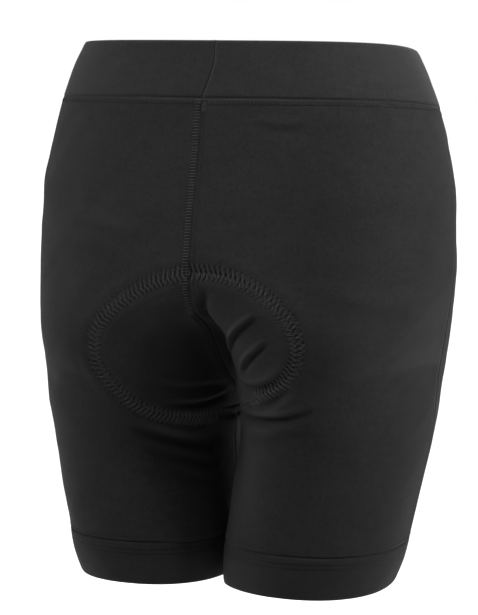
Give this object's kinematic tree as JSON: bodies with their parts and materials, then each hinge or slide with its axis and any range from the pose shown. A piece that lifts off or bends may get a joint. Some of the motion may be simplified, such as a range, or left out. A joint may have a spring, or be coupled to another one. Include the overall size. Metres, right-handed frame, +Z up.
{
  "type": "cycling shorts",
  "caption": "Close-fitting stretch cycling shorts with a wide waistband, seat seam, side seams, leg hem bands and a sewn-in seat pad, filled out as worn.",
  "frame": {"origin": "centre of the waist opening, where the wearer's waist holds the shorts up", "axes": "+Z up, +Y towards the wearer's back, +X towards the wearer's left"},
  "size_m": [0.334, 0.2357, 0.4175],
  "materials": {
    "cloth": "matte black stretch knit",
    "band": "matte black elastic knit",
    "pad": "matte black pad cover"
  },
  "bodies": {
    "root": {"waistband": "band", "back_left": "cloth", "back_right": "cloth", "front_left": "cloth", "front_right": "cloth", "hem_left": "band", "hem_right": "band", "seat_pad": "pad"}
  },
  "joints": []
}
